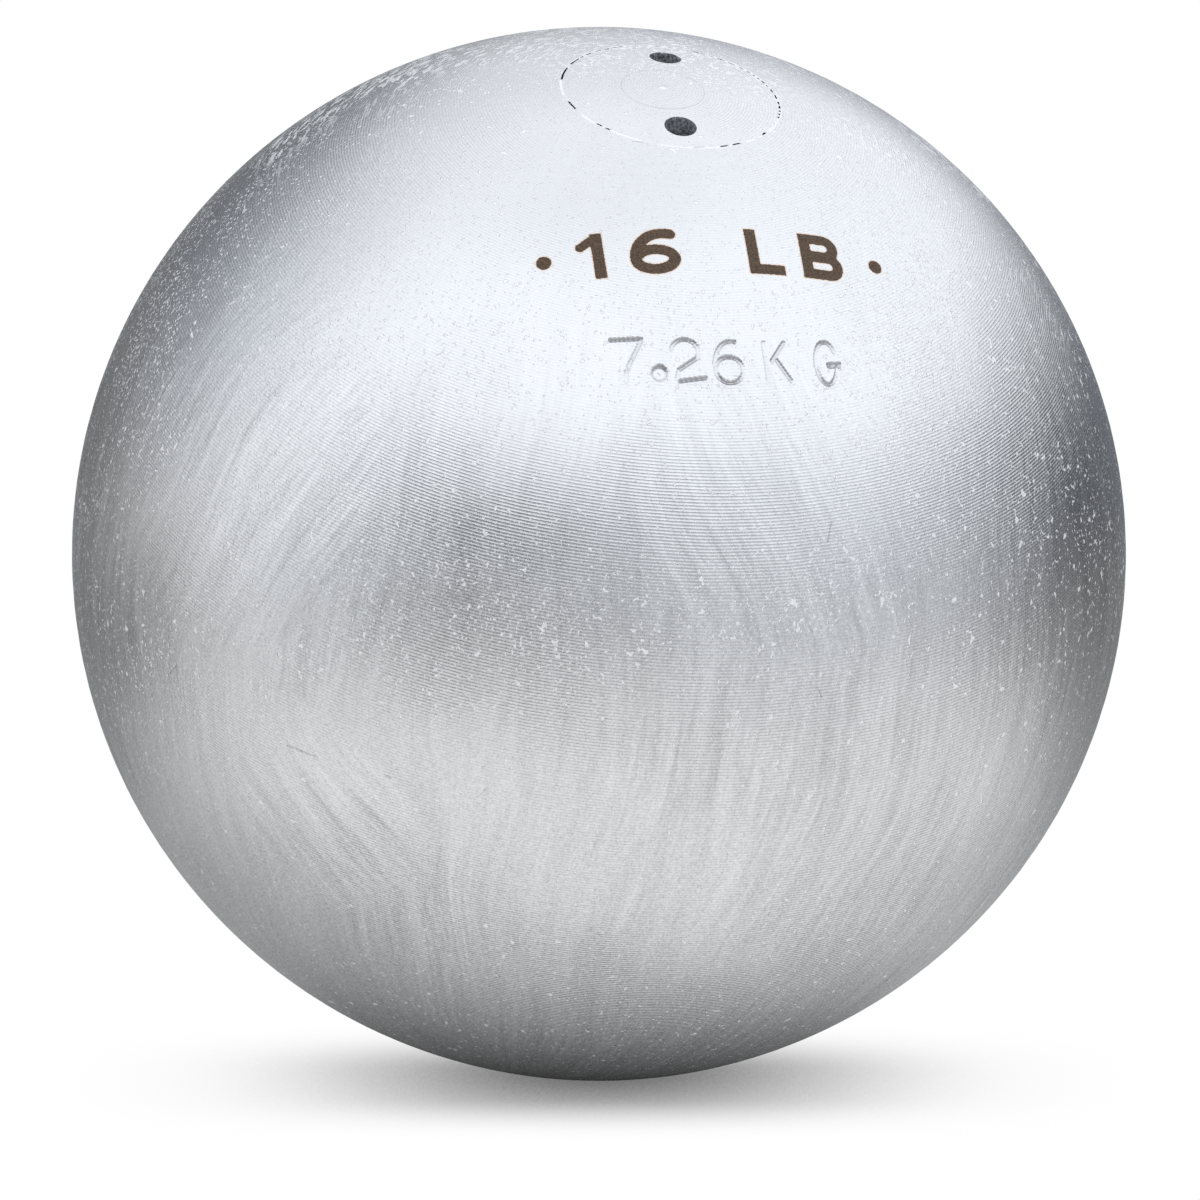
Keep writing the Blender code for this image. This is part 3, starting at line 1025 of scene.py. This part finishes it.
def turned_metal(name, colour, is_ball):
    """Bright metal off the lathe: fine grooves round the turning axis, streaks across them, and pits."""
    finish = bpy.context.scene.shot_put_metal
    material, nodes, shader = new_material(name)
    at = Surface(nodes)
    scallop = turning_grooves(nodes, at, finish.groove_pitch)
    streaks = polishing(nodes, at)
    flecks = glinting_torn_flecks(nodes, at)
    grain = torn_grain(nodes, at)
    glinting_crumbs, pit_height = crumbs_and_pits(nodes, at)
    pip_and_highlight, ring = tool_marks(nodes, at)
    burr_and_highlight = seam_burr_and_highlight(nodes, at)
    scratched = nodes.highest(*[scratch(nodes, at.place, *row) for row in SCRATCHES])
    height_mm = nodes.total(
        nodes.product(scallop, finish.groove_depth / MILLIMETRE),
        nodes.product(streaks, finish.streak_depth / MILLIMETRE),
        nodes.product(flecks, 0.04),
        nodes.product(grain, finish.grain_depth / MILLIMETRE),
        pit_height,
        nodes.difference(nodes.product(pip_and_highlight, 0.08), nodes.product(ring, 0.02)),
        nodes.product(scratched, -0.02),
        nodes.product(burr_and_highlight, 0.02),
    )
    tone = nodes.total(
        0.99,
        nodes.product(streaks, 0.95),
        nodes.product(grain, 0.7),
        nodes.product(scallop, -0.13),
        nodes.product(ring, -0.09),
        nodes.product(scratched, -0.22),
    )
    # Painted glints: the crumbs, the flecks, the seam's burr and the pip are painted near white and less
    # metallic, as specks of caught light
    painted_glints = nodes.highest(nodes.highest(glinting_crumbs, flecks), nodes.highest(burr_and_highlight, pip_and_highlight))
    metal = nodes.mix(painted_glints, nodes.scaled((*colour,), tone), (0.95, 0.96, 0.98, 1.0))
    # Painted shade in the bore, the spanner holes and the top of the seam: a speckled dark grey, lighter in
    # the holes
    shade = painted_shade_in_ball(nodes, at) if is_ball else painted_shade_in_plug(nodes, at)
    speckle = nodes.ramp(nodes.noise(at.place, 3600, 2.0), 0.35, 0.65, 0.55, 1.8)
    speckle = nodes.product(speckle, nodes.ramp(at.from_plug_axis, 0.0114, 0.0119, 1.0, 0.1))
    metal = nodes.mix(shade, metal, nodes.scaled((0.22, 0.23, 0.25), speckle))
    rough_marks = (nodes.product(streaks, 0.25), nodes.product(grain, 0.2), nodes.product(shade, 0.45))
    roughness = nodes.total(finish.roughness, *rough_marks)
    metallic = nodes.difference(1.0, nodes.product(nodes.highest(shade, painted_glints), 0.8))
    if is_ball:
        metal, roughness, metallic = with_characters(nodes, at, finish.etching, metal, roughness, metallic)
    complete(nodes, shader, metal, roughness, height_mm, MILLIMETRE, metallic)
    return material


# Scratches: degrees right of the front, degrees above the middle, length in millimetres, slope in degrees
SCRATCHES = (
    (-33, -15, 4.0, -15),
    (-51, -8, 2.5, 35),
    (-23, -17, 1.0, -25),
    (24, 8, 2.0, 75),
    (25, 5, 1.5, 0),
    (23, -8, 1.2, -65),
    (7, 54, 1.5, -5),
    (17, 53, 1.5, 5),
)


def scratch(nodes, place, around, up, length, slope):
    """One thin scratch, as a number from 0 to 1."""
    around, up, slope = (math.radians(angle) for angle in (around, up, slope))
    out = Vector((math.sin(around) * math.cos(up), -math.cos(around) * math.cos(up), math.sin(up)))
    level = Vector((math.cos(around), math.sin(around), 0))
    way = (level * math.cos(slope) + out.cross(level) * math.sin(slope)) * length * MILLIMETRE
    start = out * ball_radius - way / 2
    from_start = nodes.vector_math("SUBTRACT", place, tuple(start))
    share = nodes.vector_math("DOT_PRODUCT", from_start, tuple(way / way.length_squared))
    share = nodes.add("ShaderNodeClamp", Value=share).outputs[0]
    aside = nodes.vector_math("SUBTRACT", from_start, nodes.scaled(tuple(way), share))
    rough = nodes.product(nodes.noise(place, 1500, 2.0), 0.00012)
    far = nodes.total(nodes.vector_math("LENGTH", aside), rough)
    return nodes.ramp(far, 0.0001, 0.0002, 1.0, 0.0)


# Middle of the smoothest place, as a direction from the ball's centre
SMOOTH_PLACE = (0.03, -0.84, 0.52)
# The way the polishing strokes run over most of the ball
MAIN_STROKE = (0.12, 0.0, 0.99)
# Areas polished another way: middle, as a direction from the ball's centre, stroke, and reach in millimetres
POLISHED_AREAS = (
    ((0.32, -0.93, 0.20), (-0.33, 0.12, 0.94), 17.0),
    ((-0.68, -0.70, 0.27), (0.56, -0.21, 0.80), 21.0),
    ((-0.50, -0.80, -0.36), (-0.54, -0.01, 0.84), 14.0),
)


def polishing_strokes(nodes, place, stroke):
    """Long fine strokes that run towards one direction over the ball, from -0.5 to 0.5."""
    direction = tuple(Vector(stroke).normalized())
    along = nodes.vector_math("DOT_PRODUCT", place, direction)
    middle = nodes.scaled(direction, along)
    aside = nodes.vector_math("NORMALIZE", nodes.vector_math("SUBTRACT", place, middle))
    long = nodes.scaled(direction, nodes.product(along, 0.09 / ball_radius))
    stretched = nodes.vector_math("ADD", aside, long)
    broad = nodes.noise(stretched, 32, 2.0, 0.5)
    fine = nodes.noise(stretched, 85, 2.0, 0.7)
    mixed = nodes.total(nodes.product(broad, 0.45), nodes.product(fine, 0.55))
    return nodes.difference(mixed, 0.5)


def round_pits(nodes, place, scale, share, size):
    """Round pits strewn over the surface, in a share of the cells, as a height from 0 to 1."""
    cells = nodes.add("ShaderNodeTexVoronoi", Vector=place, Scale=scale)
    chance = nodes.add("ShaderNodeSeparateColor", Color=cells.outputs["Color"])
    there = nodes.math("LESS_THAN", chance.outputs[0], share)
    width = nodes.total(size * 0.5, nodes.product(chance.outputs[1], size * 0.9))
    pit = nodes.ramp(cells.outputs["Distance"], 0.0, width, 1.0, 0.0)
    return nodes.product(pit, there)


def brass():
    """Turned brass, a little tarnished."""
    material, nodes, shader = new_material("turned_brass")
    place = nodes.turned_place(stance)
    tarnish = nodes.ramp(nodes.noise(place, 240, 4.0, 0.6), 0.35, 0.7)
    x, y, _ = nodes.axes(place)
    lines = nodes.math("SINE", nodes.product(nodes.radius(x, y), 2 * math.pi / 0.00018))
    colour = nodes.mix(tarnish, (0.80, 0.56, 0.24, 1), (0.50, 0.33, 0.14, 1))
    roughness = nodes.total(0.25, nodes.product(tarnish, 0.2))
    complete(nodes, shader, colour, roughness, lines, 0.000004, 1.0)
    return material


def rubber():
    """Matt black rubber with a fine cloth mark."""
    material, nodes, shader = new_material("black_rubber")
    place = nodes.turned_place(stance)
    dust = nodes.ramp(nodes.noise(place, 900, 3.0, 0.7), 0.5, 0.75)
    colour = nodes.mix(dust, (0.018, 0.018, 0.019, 1), (0.09, 0.088, 0.085, 1))
    roughness = nodes.total(0.72, nodes.product(dust, 0.15))
    complete(nodes, shader, colour, roughness, nodes.noise(place, 2600, 2.0), 0.00004)
    return material


def beech():
    """Pale hardwood, its grain along the dowel, with short dark flecks."""
    material, nodes, shader = new_material("beech_wood")
    place = nodes.turned_place(stance)
    drawn = nodes.add("ShaderNodeMapping", Vector=place, Scale=(1.0, 1.0, 0.07)).outputs[0]
    grain = nodes.noise(drawn, 420, 4.0, 0.6)
    rings = nodes.add("ShaderNodeTexWave", {"wave_type": "BANDS"}, Vector=drawn, Scale=70.0, Distortion=2.5)
    flecks = nodes.ramp(nodes.noise(drawn, 1500, 1.0), 0.62, 0.7)
    wood = nodes.mix(rings.outputs["Fac"], (0.62, 0.40, 0.22, 1), (0.52, 0.31, 0.16, 1))
    wood = nodes.scaled(wood, nodes.ramp(grain, 0.3, 0.7, 0.82, 1.12))
    complete(nodes, shader, nodes.mix(flecks, wood, (0.25, 0.12, 0.05, 1)), 0.62, grain, 0.00006)
    return material


def lead():
    """Soft grey lead, dull where it has weathered, with small dents."""
    material, nodes, shader = new_material("dull_lead")
    place = nodes.turned_place(stance)
    weathered = nodes.ramp(nodes.noise(place, 160, 5.0, 0.65), 0.38, 0.62)
    colour = nodes.mix(weathered, (0.30, 0.31, 0.33, 1), (0.17, 0.175, 0.18, 1))
    roughness = nodes.total(0.38, nodes.product(weathered, 0.25))
    metallic = nodes.ramp(weathered, 0.0, 1.0, 0.9, 0.5)
    complete(nodes, shader, colour, roughness, nodes.noise(place, 420, 2.0), 0.00012, metallic)
    return material


class SHOTPUT_OT_inside(bpy.types.Operator):
    """Gives the washer, the rubber pad, the wooden dowel and the lead inside the ball their finishes"""

    bl_idname = "shot_put.inside"
    bl_label = "Pieces Inside"

    def execute(self, context):
        soft_metal = lead()
        finishes = {
            "thrust_washer": brass(),
            "packing_pad": rubber(),
            "spacer_dowel": beech(),
            "trim_disc_1": soft_metal,
            "trim_disc_2": soft_metal,
            "lead_slug": soft_metal,
        }
        for node, material in finishes.items():
            slots = frame["nodes"][node].data.materials
            if len(slots) == 0:
                slots.append(material)
            for index in range(len(slots)):
                slots[index] = material
        return {"FINISHED"}


# Play between the ball and the table
TABLE_GAP = 0.00005
# The soft shadow: how open the table is to the sky, from 0 to 1, and its grey there
SHADOW = (
    (0.0, 0.14),
    (0.03, 0.18),
    (0.09, 0.32),
    (0.16, 0.48),
    (0.25, 0.67),
    (0.38, 0.83),
    (0.5, 0.92),
    (0.68, 0.97),
    (1.0, 1.0),
)
# How high the cards' foot stands above the table, and the height of their wall
CARD_FOOT = 0.037
CARD_WALL = 0.5
# Cards round the table: direction in degrees from the front, their grey, how high they reach in degrees,
# and how much of the light overhead they keep away
CARDS = (
    (-180, 0.20, 25, 0.9),
    (-150, 0.16, 42, 1.0),
    (-125, 0.26, 44, 1.0),
    (-100, 0.64, 34, 0.95),
    (-75, 1.00, 14, 0.35),
    (-64, 0.90, 12, 0.15),
    (-50, 0.32, 10, 0.05),
    (-30, 0.0, 14, 0.0),
    (-10, 0.06, 12, 0.0),
    (10, 0.28, 10, 0.0),
    (30, 0.50, 7, 0.0),
    (55, 0.50, 6, 0.0),
    (85, 0.20, 13, 0.1),
    (115, 0.06, 19, 0.25),
    (145, 0.14, 20, 0.3),
    (180, 0.20, 25, 0.9),
)


class SHOTPUT_OT_stage(bpy.types.Operator):
    """Sets up the white table, the dark cards that the metal reflects, the soft light and the camera"""

    bl_idname = "shot_put.stage"
    bl_label = "Stage"

    def execute(self, context):
        sizes = context.scene.shot_put_stage
        self.table(sizes)
        self.cards(sizes)
        self.light(context.scene)
        self.camera(context.scene, sizes)
        return {"FINISHED"}

    def table(self, sizes):
        """A table that is white to the camera, with the ball's soft shadow, and dimmer to the metal."""
        deselect()
        bpy.ops.mesh.primitive_circle_add(
            vertices=96,
            radius=40 * ball_radius,
            fill_type="NGON",
            location=(0, 0, -ball_radius - TABLE_GAP),
        )
        table = bpy.context.object
        table.name = "table"
        material, nodes, shader = new_material("white_table")
        open_sky = nodes.add("ShaderNodeAmbientOcclusion", {"samples": 6}, Distance=0.027).outputs["AO"]
        place = nodes.add("ShaderNodeTexCoord").outputs["Object"]
        out = nodes.vector_math("LENGTH", place)
        _, away, _ = nodes.axes(place)
        # How bright the metal sees each place of the table
        close = nodes.ramp(out, 0.0, 0.06, 0.1, 1.0)
        middle = nodes.ramp(out, 0.05, 0.1, 0.93, 1.0)
        edge = nodes.ramp(out, 0.1, 0.85 * sizes.table_radius, 1.0, sizes.table_edge_glow / sizes.table_glow)
        back = nodes.ramp(away, -0.06, 0.10, 1.0, 0.36)
        left = nodes.ramp(nodes.vector_math("DISTANCE", place, (-0.055, 0.0, 0.0)), 0.02, 0.075, 0.64, 1.0)
        right = nodes.ramp(nodes.vector_math("DISTANCE", place, (0.05, 0.012, 0.0)), 0.015, 0.06, 0.86, 1.0)
        dim = nodes.product(sizes.table_glow, close, middle, edge, back, left, right)
        # The camera sees white, and the shadow only in a band from side to side under the ball
        by_camera = nodes.add("ShaderNodeLightPath").outputs["Is Camera Ray"]
        in_front = nodes.ramp(away, -0.041, -0.016, 1.0, 0.0)
        flat = nodes.product(nodes.highest(in_front, nodes.ramp(away, 0.0, 0.03)), by_camera)
        shadow = nodes.mix(flat, nodes.greys(open_sky, SHADOW), (1.0, 1.0, 1.0, 1.0))
        make_glow(material, nodes, shader, shadow, nodes.highest(dim, by_camera))
        table.data.materials.append(material)

    def cards(self, sizes):
        """A ring of cards above the table's edge that only the metal sees, with soft light overhead."""
        deselect()
        foot = CARD_FOOT - ball_radius
        bpy.ops.mesh.primitive_cylinder_add(
            vertices=96,
            radius=sizes.table_radius,
            depth=CARD_WALL,
            end_fill_type="NGON",
            location=(0, 0, foot + CARD_WALL / 2),
        )
        cards = bpy.context.object
        cards.name = "cards"
        bpy.ops.object.transform_apply(location=True, rotation=False, scale=False)
        bpy.ops.object.mode_set(mode="EDIT")
        select_where(cards, lambda place: place.z < foot + 0.01, faces=True)
        bpy.ops.mesh.delete(type="ONLY_FACE")
        bpy.ops.object.mode_set(mode="OBJECT")
        cards.visible_camera = False
        material, nodes, shader = new_material("dark_card")
        x, y, z = nodes.axes(nodes.add("ShaderNodeTexCoord").outputs["Object"])
        elevation = nodes.math("ARCTAN2", z, nodes.radius(x, y))
        azimuth = nodes.math("ARCTAN2", x, nodes.product(y, -1.0))
        turn = nodes.total(nodes.math("DIVIDE", azimuth, 2 * math.pi), 0.5)
        directions, greys, tops, shades = zip(*CARDS)
        turns = [direction / 360 + 0.5 for direction in directions]
        grey = nodes.greys(turn, zip(turns, greys), "EASE")
        shade = nodes.greys(turn, zip(turns, shades), "EASE")
        top = nodes.greys(turn, zip(turns, [degrees / 90 for degrees in tops]), "EASE")
        above = nodes.difference(elevation, nodes.product(top, math.pi / 2))
        above = nodes.ramp(above, -math.radians(13), math.radians(13))
        side = nodes.ramp(azimuth, math.radians(-95), math.radians(-15))
        side = nodes.highest(side, nodes.ramp(elevation, math.radians(12), math.radians(28)))
        card = nodes.scaled(nodes.mix(side, (1.0, 1.0, 1.01, 1.0), (0.925, 1.0, 1.125, 1.0)), grey)
        sky = nodes.ramp(elevation, math.radians(10), math.radians(33), 1.0, sizes.ceiling_glow)
        sky = nodes.difference(sky, nodes.ramp(elevation, math.radians(55), math.radians(85), 0.0, 0.2))
        dull_sky = nodes.ramp(elevation, math.radians(50), math.radians(75), 0.83, 1.1)
        sky = nodes.total(sky, nodes.product(nodes.difference(dull_sky, sky), shade))
        white = nodes.scaled(nodes.mix(side, (1.0, 1.0, 1.005, 1.0), (0.975, 1.0, 1.04, 1.0)), sky)
        make_glow(material, nodes, shader, nodes.mix(above, card, white), 1.0)
        cards.data.materials.append(material)

    def light(self, scene):
        """A plain white surround beyond the cards."""
        world = bpy.data.worlds.new("white_surround")
        scene.world = world
        world.use_nodes = True
        background = world.node_tree.nodes["Background"]
        background.inputs["Color"].default_value = (1, 1, 1, 1)
        background.inputs["Strength"].default_value = 1.0
        scene.view_settings.view_transform = "Standard"

    def camera(self, scene, sizes):
        """A long lens, a little above the ball's middle, as the photograph was taken."""
        elevation = sizes.camera_elevation
        back = Vector((0, -math.cos(elevation), math.sin(elevation)))
        up = Vector((0, math.sin(elevation), math.cos(elevation)))
        camera = bpy.data.objects.new("camera", bpy.data.cameras.new("camera"))
        scene.collection.objects.link(camera)
        camera.data.lens = sizes.lens
        camera.data.sensor_width = 36
        camera.location = back * sizes.camera_distance
        target = -up * sizes.aim_below + Vector((0.000124, 0, 0))
        camera.rotation_euler = (target - camera.location).to_track_quat("-Z", "Y").to_euler()
        scene.camera = camera


class SHOTPUT_PT_panel(bpy.types.Panel):
    """Lists the shot put's pieces and their sizes"""

    bl_idname = "SHOTPUT_PT_panel"
    bl_label = "Shot Put"
    bl_space_type = "VIEW_3D"
    bl_region_type = "UI"
    bl_category = "Shot Put"

    def draw(self, context):
        for operator in OPERATORS:
            self.layout.operator(operator.bl_idname)
        for name, group in GROUPS.items():
            sizes = getattr(context.scene, name)
            box = self.layout.box()
            for size in group.__annotations__:
                box.prop(sizes, size)


GROUPS = {"shot_put_ball": BallSizes, "shot_put_metal": MetalFinish, "shot_put_stage": StageSizes}
OPERATORS = (SHOTPUT_OT_ball, SHOTPUT_OT_plug, SHOTPUT_OT_inside, SHOTPUT_OT_stage)


def register():
    """Adds the sizes, the operators and the panel to Blender."""
    for group in GROUPS.values():
        bpy.utils.register_class(group)
    for name, group in GROUPS.items():
        setattr(bpy.types.Scene, name, bpy.props.PointerProperty(type=group))
    for operator in OPERATORS:
        bpy.utils.register_class(operator)
    bpy.utils.register_class(SHOTPUT_PT_panel)


def unregister():
    """Takes them away again."""
    bpy.utils.unregister_class(SHOTPUT_PT_panel)
    for operator in reversed(OPERATORS):
        bpy.utils.unregister_class(operator)
    for name in GROUPS:
        delattr(bpy.types.Scene, name)
    for group in GROUPS.values():
        bpy.utils.unregister_class(group)


def main():
    """Registers the sizes, the operators and the panel, and builds every piece in order."""
    register()
    bpy.ops.shot_put.ball()
    bpy.ops.shot_put.plug()
    bpy.ops.shot_put.inside()
    bpy.ops.shot_put.stage()
    deselect()


if __name__ == "__main__":
    main()
